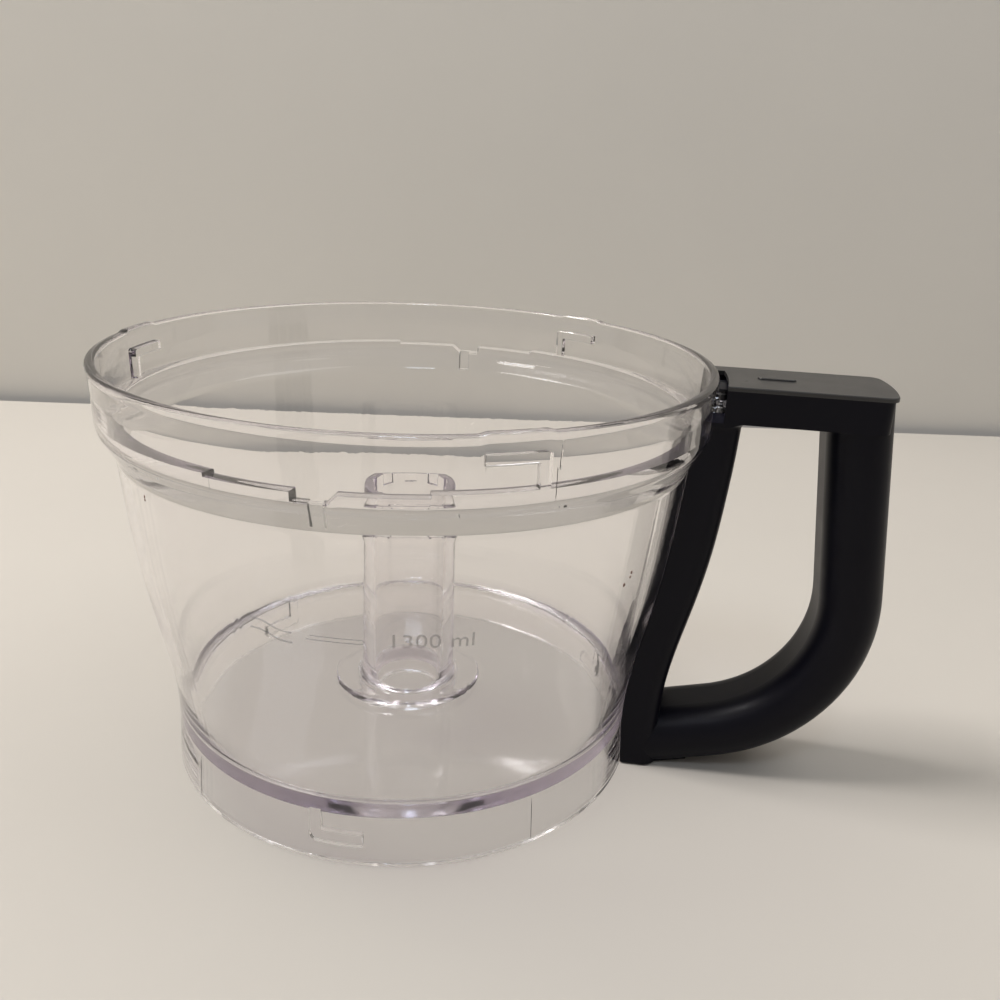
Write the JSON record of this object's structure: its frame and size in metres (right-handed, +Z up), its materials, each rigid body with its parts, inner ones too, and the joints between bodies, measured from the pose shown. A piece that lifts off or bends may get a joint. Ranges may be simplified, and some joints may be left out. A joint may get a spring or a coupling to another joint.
{
  "type": "food processor bowl",
  "caption": "Clear round food processor bowl with an open centre tube, lid lugs inside the collar, and a dark loop handle that hides a sprung lid interlock rod.",
  "frame": {"origin": "centre of the skirt's foot ring, on the bowl's axis, on the surface that the bowl stands on", "axes": "+Z up along the bowl's axis, +X towards the handle"},
  "size_m": [0.2616, 0.2, 0.1411],
  "materials": {
    "clear_plastic": "clear, faintly violet, glossy",
    "black_plastic": "satin black",
    "black_cover": "semi-gloss black",
    "rod_plastic": "smooth moulded",
    "spring_steel": "drawn wire",
    "screw_steel": "zinc yellow"
  },
  "bodies": {
    "bowl_body": {"bowl": "clear_plastic", "handle_shell": "black_plastic", "handle_cover": "black_cover", "screw_top_near": "screw_steel", "screw_top_far": "screw_steel", "screw_foot_near": "screw_steel", "screw_foot_far": "screw_steel"},
    "interlock": {"push_rod": "rod_plastic", "rod_spring": "spring_steel"}
  },
  "joints": [
    {"name": "interlock_slide", "type": "slide", "parent": "bowl_body", "child": "interlock", "axis": [0, 0, -1], "range_m": [0, 0.003], "stiffness_N_per_m": 600, "springref_m": -0.002, "deforming": ["rod_spring"]}
  ]
}
